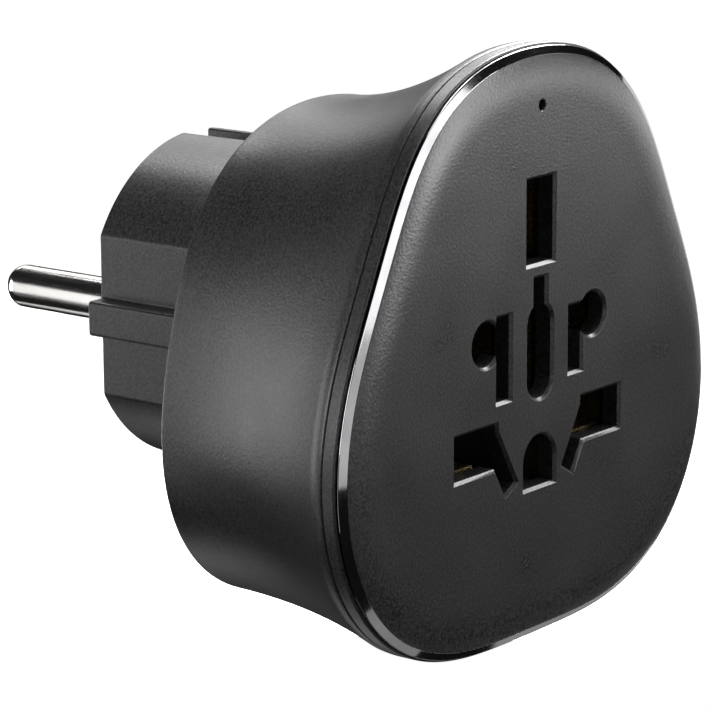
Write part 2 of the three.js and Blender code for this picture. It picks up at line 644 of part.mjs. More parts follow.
addPiece('contact_carrier', carrier(), insulator);
addPiece('contact_retainer', retainer(), insulator);
for (const [name, side] of [['line', 1], ['neutral', -1]]) {
  addPiece(`${name}_upper_contact`, upperContact(side), brass);
  addPiece(`${name}_lower_contact`, lowerContact(side), brass);
  addPiece(`${name}_busbar`, busbar(side), brass);
}
addPiece('uk_earth_contact', ukEarth(), brass);
addPiece('centre_earth_contact', centreEarth(), brass);
addPiece('us_earth_contact', usEarth(), brass);
addPiece('earth_busbar', earthBusbar(), brass);

// ---- indicator ----

const lightPipe = () => turned([
  [0, PIPE.front], [0.7, PIPE.front], [PIPE.r, PIPE.front + 0.5], [PIPE.r, PIPE.back], [0, PIPE.back],
], 0, LED_Z, 16);

// a body with a sunk window on its lit face
const led = () => box(-1, 1, -40.2, -39.4, LED_Z - 0.5, LED_Z + 0.5)
  .subtract(box(-0.7, 0.7, -41, -40, LED_Z - 0.3, LED_Z + 0.3));

const ledBoard = () => cut(
  box(-BOARD.half, BOARD.half, BOARD.front, BOARD.back, BOARD.low, BOARD.high),
  BOARD_HOLES.map(([x, z]) => rod(x, z, 0.5, BOARD.front - 1, BOARD.back + 1, 10)),
);

// a barrel with two bent leads that end in front of their holes
function resistor() {
  const axisY = BOARD.back + 1.5;
  const z = BOARD_HOLES[0][1];
  const barrel = [
    [0, -2], [0.8, -2], [0.95, -1.4], [0.75, -0.8], [0.75, 0.8], [0.95, 1.4], [0.8, 2], [0, 2],
  ];
  const body = solid(new THREE.LatheGeometry(barrel.map(([r, y]) => new THREE.Vector2(r, y)), 12))
    .rotate([0, 0, 90]).translate([0, axisY, z]);
  const leads = [-1, 1].flatMap((side) => [
    sideBox(side, 1.9, 3.35, axisY - 0.15, axisY + 0.15, z - 0.15, z + 0.15),
    sideBox(side, 3.05, 3.35, BOARD.back - 0.6, axisY + 0.15, z - 0.15, z + 0.15),
  ]);
  return union([body, ...leads]);
}

// an insulated wire along a smooth path, from the board to a busbar
function wire(side) {
  const path = new THREE.CatmullRomCurve3([
    [4.3, -37.6, 22], [4.8, -35.5, 22.2], [6.5, -32, 21.6], [8.5, -29.6, 18],
    [10, -28.4, 12], [11.2, -27, 6.5], [11.7, -25.8, 2.4], [12.5, -24.1, 0.6],
  ].map(([x, y, z]) => new THREE.Vector3(side * x, y, z)));
  const section = new THREE.Shape(circle(0, 0, 0.6, 8).map(([x, y]) => new THREE.Vector2(x, y)));
  const tube = new THREE.ExtrudeGeometry(section, { steps: 20, extrudePath: path });
  return solid(tube);
}

addPiece('light_pipe', lightPipe(), lens);
addPiece('indicator_led', led(), lens);
addPiece('led_board', ledBoard(), board);
addPiece('led_resistor', resistor(), ceramic);
addPiece('led_line_wire', wire(1), insulation);
addPiece('led_neutral_wire', wire(-1), insulationBlue);

// ---- screws ----

// made at the origin with the head's underside at Y = 0 and the shank along -Y
function screw(length) {
  const { shank, head, headThick } = SCREW;
  const profile = [
    [0, -length], [shank * 0.5, -length], [shank, -length + 0.8], [shank, 0],
    [head, 0], [head, headThick * 0.6], [head * 0.75, headThick], [0, headThick],
  ];
  const slots = [[0.3, 1.3], [1.3, 0.3]].map(([x, z]) => box(-x, x, headThick - 0.9, headThick + 1, -z, z));
  return cut(turned(profile, 0, 0, 16), slots);
}

// direction is -1 for a screw driven towards the socket face and 1 for one driven towards the wall
function addScrews(name, places, headY, length, direction) {
  const shape = screw(length);
  places.forEach(([x, z], i) => {
    const piece = addPiece(`${name}_${i + 1}`, shape, steel);
    piece.position.set(x, headY, z);
    piece.rotation.x = direction > 0 ? Math.PI : 0;
  });
}

addScrews('housing_screw', HOUSING_POSTS, SEAT + GAP, HOUSING_SCREW_LENGTH, -1);
addScrews('retainer_screw', CARRIER_POSTS, RETAINER.back + GAP, RETAINER_SCREW_LENGTH, -1);
addScrews('plug_screw', PLUG_BOSSES, CUP_END - GAP, PLUG_SCREW_LENGTH, 1);

export default adapter;
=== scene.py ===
"""The looks of the universal travel adapter, built round its CAD frame.

Lengths below are in millimetres, in the frame of the CAD model: the pins point along +Y, the socket
face looks along -Y, and +Z is up. MM turns them into Blender's metres.
"""

import json
import math

import bmesh
import bpy
from mathutils import Matrix, Vector


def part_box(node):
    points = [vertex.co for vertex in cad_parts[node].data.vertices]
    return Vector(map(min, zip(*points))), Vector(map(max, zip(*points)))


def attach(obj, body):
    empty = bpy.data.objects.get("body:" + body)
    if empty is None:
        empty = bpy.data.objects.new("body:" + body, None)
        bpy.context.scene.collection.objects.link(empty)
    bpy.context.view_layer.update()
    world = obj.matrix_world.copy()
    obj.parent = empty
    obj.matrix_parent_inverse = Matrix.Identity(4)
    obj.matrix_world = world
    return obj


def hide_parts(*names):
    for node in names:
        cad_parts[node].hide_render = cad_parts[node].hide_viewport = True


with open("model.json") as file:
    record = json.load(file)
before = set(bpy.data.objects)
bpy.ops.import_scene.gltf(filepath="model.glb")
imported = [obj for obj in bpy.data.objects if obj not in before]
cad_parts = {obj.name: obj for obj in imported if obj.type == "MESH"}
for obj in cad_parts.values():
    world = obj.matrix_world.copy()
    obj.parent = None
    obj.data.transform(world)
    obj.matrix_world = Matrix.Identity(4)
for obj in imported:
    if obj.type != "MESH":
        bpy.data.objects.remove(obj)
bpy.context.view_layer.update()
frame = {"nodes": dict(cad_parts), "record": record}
MM = 0.001


def lowest(node, axis):
    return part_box(node)[0][axis] / MM


def highest(node, axis):
    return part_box(node)[1][axis] / MM


X, Y, Z = 0, 1, 2
FACE = lowest("face_plate", Y)
SHELL_BACK = highest("rear_shell", Y)
PLUG_FACE = highest("plug_body", Y)
PIN_TIP = highest("line_pin", Y)
PIN_X = (lowest("line_pin", X) + highest("line_pin", X)) / 2
LED_Z = (lowest("light_pipe", Z) + highest("light_pipe", Z)) / 2
FRENCH_Z = (lowest("french_earth_sleeve", Z) + highest("french_earth_sleeve", Z)) / 2

# ---- the body's curved outline, as the CAD model has it ----

AXIS_Z = -2.1
FRONT_OUTLINE = (31.97, -0.1, -0.13, 2.4, -0.55, -0.2, -0.19, -0.08)
REAR_OUTLINE = (27, -2, 0.25, 1, -0.85)
FLARE = 1.88  # power of the flare from the rear outline to the front one
FLARE_END = FACE + 3.8  # where the flare has reached the front outline
SEGMENTS = 360


def radius_at(outline, phi):
    """Radius of an outline at an angle from straight up; outline holds a[k] of the sum of a[k] cos(k phi)."""
    return sum(a * math.cos(k * phi) for k, a in enumerate(outline))


def body_ring(y, offset=0.0, shape_y=None):
    """The body's outline at station y, grown by offset; shape_y takes its shape from another station."""
    along = (SHELL_BACK - (y if shape_y is None else shape_y)) / (SHELL_BACK - FLARE_END)
    blend = min(max(along, 0), 1) ** FLARE
    ring = []
    for i in range(SEGMENTS):
        phi = 2 * math.pi * i / SEGMENTS
        rear, front = radius_at(REAR_OUTLINE, phi), radius_at(FRONT_OUTLINE, phi)
        radius = (1 - blend) * rear + blend * front + offset
        ring.append((radius * math.sin(phi), y, AXIS_Z + radius * math.cos(phi)))
    return ring


def front_rings(section):
    """Rings of the front outline, from pairs of offset and distance behind the face."""
    return [body_ring(FACE + depth, offset, FACE) for offset, depth in section]


# ---- outlines in two dimensions ----


def quarter_turn(steps):
    """Angles from 0 to a right angle, in radians."""
    return [math.pi / 2 * k / steps for k in range(steps + 1)]


def arc(cx, cz, r, start, end, steps):
    angles = [math.radians(start + (end - start) * i / steps) for i in range(steps + 1)]
    return [(cx + r * math.cos(t), cz + r * math.sin(t)) for t in angles]


def circle(cx, cz, r, steps):
    return arc(cx, cz, r, 0, 360, steps)[:steps]


def rounded(points, radii, steps=5, closed=True):
    """Turns each corner of a path into an arc; radii is one number, or one for each corner."""
    out = []
    count = len(points)
    for i, corner in enumerate(points):
        r = radii[i] if isinstance(radii, (list, tuple)) else radii
        if r <= 0 or (not closed and i in (0, count - 1)):
            out.append(corner)
            continue
        p = Vector(corner)
        a, b = Vector(points[i - 1]) - p, Vector(points[(i + 1) % count]) - p
        room = 0.49 * min(a.length, b.length)  # so that two arcs fit on one side
        a.normalize()
        b.normalize()
        angle = a.angle(b)
        if angle > math.pi - 0.02:  # no corner to speak of
            out.append(corner)
            continue
        reach = min(r / math.tan(angle / 2), room)
        r = reach * math.tan(angle / 2)
        centre = p + (a + b).normalized() * (r / math.sin(angle / 2))
        start, end = p + a * reach - centre, p + b * reach - centre
        turn = start.angle_signed(end)
        for k in range(steps + 1):
            out.append(tuple(centre + Matrix.Rotation(-turn * k / steps, 2) @ start))
    return out


def area(points):
    """Area inside an outline, negative where it runs clockwise."""
    following = points[1:] + points[:1]
    return sum(x0 * z1 - x1 * z0 for (x0, z0), (x1, z1) in zip(points, following)) / 2


def grown(points, distance):
    """Moves each side of an outline outwards, or inwards if distance is negative."""
    sign = 1 if area(points) > 0 else -1
    out = []
    for i, point in enumerate(points):
        p = Vector(point)
        before = (p - Vector(points[i - 1])).normalized()
        after = (Vector(points[(i + 1) % len(points)]) - p).normalized()
        normals = Vector((before.y, -before.x)) + Vector((after.y, -after.x))
        out.append(tuple(p + normals * sign * distance / (normals.length_squared / 2)))
    return out


# ---- meshes ----


def loft(rings, closed=False):
    """Joins rings of points, all with the same count, into a skin that has caps or closes on itself."""
    bm = bmesh.new()
    rows = [[bm.verts.new((x * MM, y * MM, z * MM)) for x, y, z in ring] for ring in rings]
    count = len(rows[0])
    last = len(rows) if closed else len(rows) - 1
    for k in range(last):
        a, b = rows[k], rows[(k + 1) % len(rows)]
        for i in range(count):
            j = (i + 1) % count
            bm.faces.new((a[i], a[j], b[j], b[i]))
    if not closed:
        bm.faces.new(list(reversed(rows[0])))
        bm.faces.new(rows[-1])
    bmesh.ops.recalc_face_normals(bm, faces=bm.faces)
    return bm


def prism(outline, section):
    """A solid along Y: section is pairs of growth of the outline and station along Y."""
    return loft([[(x, y, z) for x, z in grown(outline, g)] for g, y in section])


ON_AXIS = 0.01  # radius of the tiny cap where a turned profile meets its axis
PIN_STEPS = 96
HOLE_STEPS = 48


def turned(profile, cx, cz, steps):
    """A solid turned about an axis along Y, from pairs of radius and station along Y."""
    return loft([[(x, y, z) for x, z in circle(cx, cz, r, steps)] for r, y in profile])


def made(name, bm):
    mesh = bpy.data.meshes.new(name)
    bm.to_mesh(mesh)
    bm.free()
    obj = bpy.data.objects.new(name, mesh)
    bpy.context.scene.collection.objects.link(obj)
    return obj


def apply_modifiers(obj):
    graph = bpy.context.evaluated_depsgraph_get()
    mesh = bpy.data.meshes.new_from_object(obj.evaluated_get(graph))
    old = obj.data
    obj.modifiers.clear()
    obj.data = mesh
    mesh.name = obj.name
    bpy.data.meshes.remove(old)


def carve(obj, bm, operation="DIFFERENCE"):
    """Cuts a mesh out of the object, or joins it on."""
    tool = made("tool", bm)
    mod = obj.modifiers.new("carve", "BOOLEAN")
    mod.operation = operation
    mod.solver = "EXACT"
    mod.object = tool
    apply_modifiers(obj)
    mesh = tool.data
    bpy.data.objects.remove(tool)
    bpy.data.meshes.remove(mesh)


def shade(obj):
    """Smooth faces with crisp edges, where large faces hold their own normal."""
    obj.data.shade_smooth()
    obj.data.set_sharp_from_angle(angle=math.radians(35))
    mod = obj.modifiers.new("normals", "WEIGHTED_NORMAL")
    mod.keep_sharp = True
    mod.weight = 60


def finish_piece(obj, material, nodes):
    """Gives a piece its looks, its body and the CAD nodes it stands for."""
    obj.data.materials.clear()
    obj.data.materials.append(material)
    shade(obj)
    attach(obj, "root")
    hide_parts(*nodes)


# ---- materials ----


class Nodes:
    """A node material in the making."""

    def __init__(self, name):
        self.material = bpy.data.materials.new(name)
        self.material.use_nodes = True
        self.tree = self.material.node_tree
        self.shader = self.tree.nodes["Principled BSDF"]
        self.coords = self.tree.nodes.new("ShaderNodeTexCoord").outputs["Object"]

    def add(self, kind, links=None, **values):
        """Adds a node; values are its properties or its inputs, and links are sources for its inputs."""
        node = self.tree.nodes.new(kind)
        for key, value in values.items():
            if hasattr(node, key):
                setattr(node, key, value)
            else:
                node.inputs[key.replace("_", " ")].default_value = value
        for key, source in (links or {}).items():
            self.tree.links.new(source, node.inputs[key])
        return node

    def noise(self, size, detail=2.0, roughness=0.5, stretch=(1, 1, 1)):
        """Noise whose features are about size millimetres across."""
        where = self.add("ShaderNodeMapping", {"Vector": self.coords}, Scale=stretch)
        return self.add(
            "ShaderNodeTexNoise", {"Vector": where.outputs["Vector"]},
            Scale=1 / (size * MM), Detail=detail, Roughness=roughness,
        ).outputs["Fac"]

    def ramp(self, source, low, high, start=0.0, end=1.0):
        """Maps a value to a colour or a number between low and high."""
        if isinstance(low, tuple):
            node = self.add("ShaderNodeValToRGB", {"Fac": source})
            first, last = node.color_ramp.elements
            first.position = start
            first.color = (*low, 1)
            last.position = end
            last.color = (*high, 1)
            return node.outputs["Color"]
        node = self.add(
            "ShaderNodeMapRange", {"Value": source}, From_Min=start, From_Max=end, To_Min=low, To_Max=high
        )
        return node.outputs["Result"]

    def bump(self, height, strength, distance):
        """Bumps from a height; distance is their depth in millimetres."""
        return self.add(
            "ShaderNodeBump", {"Height": height}, Strength=strength, Distance=distance * MM
        ).outputs["Normal"]

    def link(self, **sources):
        """Links a source to each of the shader's inputs that are named."""
        for key, source in sources.items():
            self.tree.links.new(source, self.shader.inputs[key.replace("_", " ")])

    def set(self, **values):
        """Sets the shader's inputs that are named."""
        for key, value in values.items():
            self.shader.inputs[key.replace("_", " ")].default_value = value
        return self.material


def grained_plastic(name, dark, light, grain, strength, roughness):
    """Moulded plastic with a spark-eroded grain; grain is its size in millimetres."""
    n = Nodes(name)
    coarse = n.noise(9, 3)
    fine = n.noise(grain, 1)
    n.link(
        Base_Color=n.ramp(fine, dark, light, 0.32, 0.68),
        Roughness=n.ramp(coarse, roughness - 0.03, roughness + 0.03, 0.3, 0.7),
        Normal=n.bump(fine, strength, 0.03),
    )
    return n.material


def polished_metal(name, dark, light, roughness, scratch, stretch=(1, 1, 1)):
    """Plated metal with faint polishing marks, which stretch can draw out into lines."""
    n = Nodes(name)
    lines = n.noise(0.25, 3, 0.6, stretch)
    cloud = n.noise(4, 2)
    n.link(
        Base_Color=n.ramp(cloud, dark, light, 0.3, 0.7),
        Roughness=n.ramp(lines, roughness * 0.8, roughness * 1.25, 0.3, 0.7),
        Normal=n.bump(lines, scratch, 0.01),
    )
    return n.set(Metallic=1.0)


GRAIN = {"grain": 0.28, "strength": 0.6}

# how far polishing marks are drawn out along Y, on pins and on brass strips
LONG_LINES = (1, 0.06, 1)
SHORT_LINES = (1, 0.1, 1)

casing = grained_plastic(
    "casing_plastic", (0.007, 0.007, 0.0075), (0.038, 0.038, 0.039), roughness=0.34, **GRAIN
)
face_plastic = grained_plastic(
    "face_plastic", (0.006, 0.006, 0.0065), (0.034, 0.034, 0.035), roughness=0.3, **GRAIN
)
insulator = grained_plastic(
    "insulator_plastic", (0.008, 0.008, 0.008), (0.014, 0.014, 0.014), grain=0.3, strength=0.2, roughness=0.6
)
dark_chrome = polished_metal("dark_chrome", (0.33, 0.33, 0.34), (0.42, 0.42, 0.43), 0.07, 0.03)
nickel = polished_metal("nickel_plating", (0.78, 0.76, 0.73), (0.86, 0.84, 0.82), 0.16, 0.03, LONG_LINES)
# the brass is darker than clean brass: painted shade for the contacts that sit deep inside the apertures
brass = polished_metal("stamped_brass", (0.3, 0.23, 0.12), (0.42, 0.33, 0.18), 0.28, 0.06, SHORT_LINES)
steel = polished_metal("zinc_plated_steel", (0.5, 0.5, 0.5), (0.66, 0.66, 0.67), 0.3, 0.15)

# ---- rear shell ----

JOINT_DEPTH = 2.8  # from the face to the joint between rim and shell
HAIRLINE = FACE + JOINT_DEPTH
SEAM = 0.05  # half of the visible joint between shell and rim
WALL = 2.0
REAR_WALL = 2.2
INNER_BACK = SHELL_BACK - REAR_WALL
HOUSING_SCREWS = [f"housing_screw_{k}" for k in (1, 2, 3, 4)]
POST_R = 3.3
POST_END = -30
RECESS_R = 2.5
RECESS_SOFT = 0.3
SCREW_SEAT = -27
SCREW_HOLE_R = 1.45
CLEAR = 1.0  # how far a cutter reaches past what it cuts


def mouth(radius, soft, surface):
    """Pairs of radius and station for a hole with a softened mouth, in a surface that faces the wall."""
    return [(radius + soft, surface + CLEAR)] + [
        (radius + soft * (1 - math.sin(t)), surface - soft * (1 - math.cos(t))) for t in quarter_turn(4)
    ]


def centre_of(node):
    low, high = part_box(node)
    return (low[X] + high[X]) / 2 / MM, (low[Z] + high[Z]) / 2 / MM


def joined(meshes):
    """Several separate solids as one mesh."""
    whole = bmesh.new()
    for bm in meshes:
        mesh = bpy.data.meshes.new("part")
        bm.to_mesh(mesh)
        bm.free()
        whole.from_mesh(mesh)
        bpy.data.meshes.remove(mesh)
    return whole


PLUG_R = 18.1
PLUG_FLAT = 15.9  # from the centre to the flats on each side
RIB_OUT = 18.0
RIB_HALF = 1.9
CHANNEL_HALF = 1.95
CHANNEL_FLOOR = 15.2


def plug_outline(channels, soft):
    """Round with side flats and a guide rib on each, and open channels for the earth clips where asked.

    The corners' radii are multiplied by soft.
    """
    corner = math.degrees(math.acos(PLUG_FLAT / PLUG_R))
    gate = math.degrees(math.acos(CHANNEL_HALF / PLUG_R))
    steps = 24
    points, radii = [], []

    def put(new, new_radii):
        points.extend(new)
        radii.extend(radius * soft for radius in new_radii)

    for half in (1, -1):
        rib = [(PLUG_FLAT, -RIB_HALF), (RIB_OUT, -RIB_HALF), (RIB_OUT, RIB_HALF), (PLUG_FLAT, RIB_HALF)]
        put([(half * x, half * z) for x, z in rib], [0.3, 0.4, 0.4, 0.3])
        turn = 0 if half > 0 else 180
        if channels:
            floor = [(CHANNEL_HALF, CHANNEL_FLOOR), (-CHANNEL_HALF, CHANNEL_FLOOR)]
            first = arc(0, 0, PLUG_R, corner + turn, gate + turn, steps)
            second = arc(0, 0, PLUG_R, 180 - gate + turn, 180 - corner + turn, steps)
            put(first, [0.9] + [0] * (steps - 1) + [0.35])
            put([(half * x, half * z) for x, z in floor], [0.2, 0.2])
            put(second, [0.35] + [0] * (steps - 1) + [0.9])
        else:
            whole = arc(0, 0, PLUG_R, corner + turn, 180 - corner + turn, 2 * steps)
            put(whole, [0] * len(whole))
    return rounded(points, radii, 4)


def shell_skin():
    """The shell's rings: its rear edge, the flare, the front lip, the rabbet for the rim and the inside."""
    front = HAIRLINE + SEAM
    edge, lip, land = 0.22, 0.15, 1.0
    rabbet_depth, rabbet_offset = 4.6, -1.95
    inner_front, outer_steps, inner_steps = -41, 44, 12
    rings = [
        body_ring(SHELL_BACK - edge * (1 - math.cos(t)), -edge * (1 - math.sin(t))) for t in quarter_turn(4)
    ]
    rings += [body_ring(SHELL_BACK + (front - SHELL_BACK) * k / outer_steps) for k in range(1, outer_steps)]
    rings += [body_ring(front + lip * (1 - math.sin(t)), -lip * (1 - math.cos(t))) for t in quarter_turn(3)]
    rings += [body_ring(front, -land), body_ring(FACE + rabbet_depth, rabbet_offset, FACE)]
    rings += [
        body_ring(inner_front + (INNER_BACK - inner_front) * k / inner_steps, -WALL)
        for k in range(inner_steps + 1)
    ]
    return rings


def make_shell():
    shell = made("rear_shell_moulding", loft(shell_skin()))
    centres = [centre_of(name) for name in HOUSING_SCREWS]
    post = [(POST_R, INNER_BACK + 0.5), (POST_R, POST_END)]  # it starts inside the rear wall
    posts = [turned(post, x, z, HOLE_STEPS) for x, z in centres]
    carve(shell, joined(posts), "UNION")
    stepped = mouth(RECESS_R, RECESS_SOFT, SHELL_BACK) + [
        (RECESS_R, SCREW_SEAT), (SCREW_HOLE_R, SCREW_SEAT), (SCREW_HOLE_R, POST_END - CLEAR),
    ]
    recesses = [turned(stepped, x, z, HOLE_STEPS) for x, z in centres]
    # the joint round the plug is 0.2 wide and opens to 0.45 at the surface
    opening = prism(plug_outline(False, 0), [
        (0.45, SHELL_BACK + CLEAR), (0.45, SHELL_BACK), (0.3, SHELL_BACK - 0.1), (0.2, SHELL_BACK - 0.3),
        (0.2, INNER_BACK - CLEAR),
    ])
    carve(shell, joined([*recesses, opening]))
    return shell


finish_piece(make_shell(), casing, ["rear_shell"])

# ---- rim and polished ring ----

# sections are pairs of offset from the front outline and depth behind the face

RIM_FRONT, RIM_STEP, RIM_END = 1.32, 2.4, 4.3
RIM_BACK = JOINT_DEPTH - SEAM
RIM_SECTION = rounded(
    [(-0.45, RIM_FRONT), (0, RIM_FRONT), (0, RIM_BACK), (-1.3, RIM_BACK),
     (-2.25, RIM_END), (-3.4, RIM_END), (-3.4, RIM_STEP), (-0.45, RIM_STEP)],
    [0.08, 0.2, 0.06, 0, 0, 0, 0, 0],
)

# the second and third points lie on the polished chamfer, and keep its shading flat
TRIM_BACK, TRIM_END, TRIM_STEP = 1.1, 2.1, 1.24
TRIM_SECTION = rounded(
    [(-1.12, 0.5), (-1.07, 0.528), (-0.42, 0.892), (-0.28, 0.97), (-0.28, TRIM_BACK),
     (-0.72, TRIM_BACK), (-0.72, TRIM_END), (-1.45, TRIM_END), (-1.45, TRIM_STEP), (-1.12, TRIM_STEP)],
    [0.02, 0, 0, 0.1, 0.04, 0, 0, 0, 0, 0],
)


def make_band(name, section):
    return made(name, loft(front_rings(section), closed=True))


finish_piece(make_band("rim_band", RIM_SECTION), casing, ["rim_frame"])
finish_piece(make_band("polished_ring", TRIM_SECTION), dark_chrome, ["trim_ring"])

# ---- face plate ----

BEVEL = 0.33
FACE_THICK = 2.1
SOCKET_Z = -9.1  # height of the slots for rectangular pins
LED_HOLE_R = 0.67
LED_BEVEL = 0.12


def on_side(side, points):
    """An outline drawn on the right, mirrored where side is -1."""
    return points if side > 0 else [(-x, z) for x, z in reversed(points)]


def earth_aperture():
    half, low, high = 2.7, 8.4, 17.8
    return [(-half, low), (half, low), (half, high), (-half, high)]


def centre_aperture():
    """A long slot with round ends, and a narrower neck above it."""
    r, low, high, neck, top = 2.45, -5.8, 4.75, 1.38, 7.5
    lean = math.degrees(math.acos(neck / r))
    return (
        arc(0, low + r, r, 180, 360, 32) + arc(0, high - r, r, 0, lean, 12)
        + [(neck, top), (-neck, top)] + arc(0, high - r, r, 180 - lean, 180, 12)
    )


def d_aperture():
    """Flat at the bottom and round at the top."""
    half, bottom, top = 3.03, -15.1, -9.05
    return [(-half, bottom), (half, bottom)] + arc(0, top - half, half, 0, 180, 36)


def blade_aperture(side):
    """A round hole that runs into an upright slot; the neutral slot is the longer one."""
    x, z, r, near, far = 9.4, 1.8, 2.63, 4.87, 7.83
    low, high = (-4.1, 3.6) if side > 0 else (-4.9, 4.5)
    lean = math.degrees(math.acos((x - far) / r))
    higher = high > z + r * math.sin(math.radians(lean))
    end = 180 - lean if higher else 180 - math.degrees(math.asin((high - z) / r))
    outline = [(near, low), (far, low)] + arc(x, z, r, lean - 180, end, 48)
    outline += ([(far, high)] if higher else []) + [(near, high)]
    return on_side(side, outline)


def pin_aperture(side):
    """A rectangular slot that runs into a slanted one."""
    near, far, half = 7.25, 14.96, 2.65
    return on_side(side, [
        (near, SOCKET_Z + half), (near, -7.5), (3.72, -13.6), (6.11, -14.95), (7.94, -11.75),
        (far, SOCKET_Z - half), (far, SOCKET_Z + half),
    ])


def aperture_cutter(outline, bevel=BEVEL):
    """Cuts an aperture whose edge has a flat bevel with slightly broken edges."""
    broken = 0.05
    path = [(0.3, 0), (0, 0), (-bevel, bevel), (-bevel, FACE_THICK)]
    edge = rounded(path, [0, broken, broken, 0], 2, closed=False)[1:-1]
    section = [(edge[0][0], -CLEAR)] + edge + [(-bevel, FACE_THICK + CLEAR)]
    return prism(outline, [(growth, FACE + depth) for growth, depth in section])


def make_face():
    """The face is flat in the middle and falls towards the ring along a smooth crown."""
    edge_offset, edge_depth, flat_offset, crown_power, steps = -1.14, 0.5, -5.8, 2.6, 20
    step_depth, side_offset = 0.9, -1.78
    crown = [
        (flat_offset + (edge_offset - flat_offset) * k / steps, edge_depth * (k / steps) ** crown_power)
        for k in range(steps + 1)
    ]
    side = [(edge_offset, step_depth), (side_offset, step_depth), (side_offset, FACE_THICK)]
    section = rounded(crown + side, [0] * steps + [0.02, 0, 0, 0], 3, closed=False)
    face = made("socket_face", loft(front_rings(section)))
    apertures = [
        earth_aperture(), centre_aperture(), d_aperture(), blade_aperture(1), blade_aperture(-1),
        pin_aperture(1), pin_aperture(-1),
    ]
    cutters = [aperture_cutter(outline) for outline in apertures]
    cutters.append(aperture_cutter(circle(0, LED_Z, LED_HOLE_R, HOLE_STEPS), LED_BEVEL))
    carve(face, joined(cutters))
    return face


finish_piece(make_face(), face_plastic, ["face_plate"])

# ---- plug ----

PIN_R = 2.4
PLUG_END = -22.2  # the end of the plug inside the shell
COLLAR_FACE = -20.3
RIVET_FACE = -23.6
RIVET_END = -24.1


def blind_hole(cx, cz, radius, soft, depth):
    """A cutter for a round hole with a flat floor in the plug's face."""
    profile = mouth(radius, soft, PLUG_FACE) + [(radius, PLUG_FACE - depth)]
    return turned(profile, cx, cz, HOLE_STEPS)


def make_plug():
    soft = 0.3
    section = [(0, PLUG_END)] + [
        (-soft * (1 - math.cos(t)), PLUG_FACE - soft * (1 - math.sin(t))) for t in quarter_turn(4)
    ]
    plug = made("plug_moulding", prism(plug_outline(True, 1), section))
    pin_hole = {"radius": PIN_R + 0.06, "soft": 0.12, "depth": 3}
    sleeve_hole = {"radius": 3.2, "soft": 0.2, "depth": 16.3}
    holes = [blind_hole(x, 0, **pin_hole) for x in (-PIN_X, PIN_X)]
    holes.append(blind_hole(0, FRENCH_Z, **sleeve_hole))
    carve(plug, joined(holes))
    return plug


def make_pin(name, x):
    """A shank with a domed tip, and the collar and riveted tail that the housing hides."""
    dome, collar_r, tail_r, rivet_r = 2.2, 3.4, 1.5, 2.2
    profile = [(ON_AXIS, PIN_TIP)] + [
        (PIN_R * math.sin(t), PIN_TIP - dome + dome * math.cos(t)) for t in quarter_turn(16)[1:]
    ]
    profile += [
        (PIN_R, COLLAR_FACE), (collar_r, COLLAR_FACE), (collar_r, PLUG_END), (tail_r, PLUG_END),
        (tail_r, RIVET_FACE), (rivet_r, RIVET_FACE), (rivet_r - 0.2, RIVET_END), (ON_AXIS, RIVET_END),
    ]
    return made(name, turned(profile, x, 0, PIN_STEPS))


def make_clip(name, end):
    """A sprung strip, bowed outwards, with rolled edges; end is 1 for the top one and -1 for the bottom."""
    gap = 0.3
    low = CHANNEL_FLOOR + gap
    thick, half, rolled = 0.7, 1.65, 0.22
    start, length, steps = -23.2, 22, 40
    bow, bow_start, bow_length = 0.9, -19, 17.8
    section = rounded([(-half, 0), (half, 0), (half, thick), (-half, thick)], rolled, 4)
    rings = []
    for k in range(steps + 1):
        y = start + length * k / steps
        along = min(max((y - bow_start) / bow_length, 0), 1)
        lift = bow * math.sin(math.pi * along) ** 2
        rings.append([(x, y, end * (low + lift + z)) for x, z in section])
    return made(name, loft(rings))


def make_sleeve():
    """A tube for an outlet's earth pin, closed at its inner end, on a thin stem."""
    stem, outer, inner, end, lip, floor = 1, 3.1, 2.5, -16, -0.4, -15
    section = rounded(
        [(stem, PLUG_END), (stem, end), (outer, end), (outer, lip),
         (inner, lip), (inner, floor), (ON_AXIS, floor)],
        [0, 0, 0.2, 0.15, 0.28, 0.1, 0], 5, closed=False,
    )
    return made("french_sleeve", turned([(ON_AXIS, PLUG_END)] + section, 0, FRENCH_Z, PIN_STEPS))


finish_piece(make_plug(), casing, ["plug_body"])
finish_piece(make_pin("line_pin_turned", PIN_X), nickel, ["line_pin"])
finish_piece(make_pin("neutral_pin_turned", -PIN_X), nickel, ["neutral_pin"])
finish_piece(make_clip("upper_clip_strip", 1), nickel, ["upper_earth_clip"])
finish_piece(make_clip("lower_clip_strip", -1), nickel, ["lower_earth_clip"])
finish_piece(make_sleeve(), nickel, ["french_earth_sleeve"])

# ---- nodes that keep their CAD shape ----


def circuit_board():
    n = Nodes("circuit_board")
    cells = n.add("ShaderNodeTexBrick", {"Vector": n.coords}, Scale=420, Mortar_Size=0.06, Brick_Width=0.7)
    cells.inputs["Color1"].default_value = (0.012, 0.09, 0.035, 1)
    cells.inputs["Color2"].default_value = (0.01, 0.07, 0.03, 1)
    cells.inputs["Mortar"].default_value = (0.04, 0.2, 0.08, 1)
    n.link(Base_Color=cells.outputs["Color"], Normal=n.bump(cells.outputs["Fac"], 0.3, 0.03))
    return n.set(Roughness=0.35)


def lacquer():
    """A resistor's lacquered body with coloured bands across it."""
    n = Nodes("resistor_lacquer")
    split = n.add("ShaderNodeSeparateXYZ", {"Vector": n.coords})
    turns = n.add("ShaderNodeMath", {0: split.outputs["X"]}, operation="MULTIPLY")
    turns.inputs[1].default_value = 7 / MM  # radians of the wave in each millimetre
    wave = n.add("ShaderNodeMath", {0: turns.outputs["Value"]}, operation="SINE")
    n.link(
        Base_Color=n.ramp(wave.outputs["Value"], (0.6, 0.42, 0.22), (0.25, 0.06, 0.02), 0.55, 0.6),
        Roughness=n.ramp(n.noise(0.5), 0.25, 0.4),
    )
    return n.material


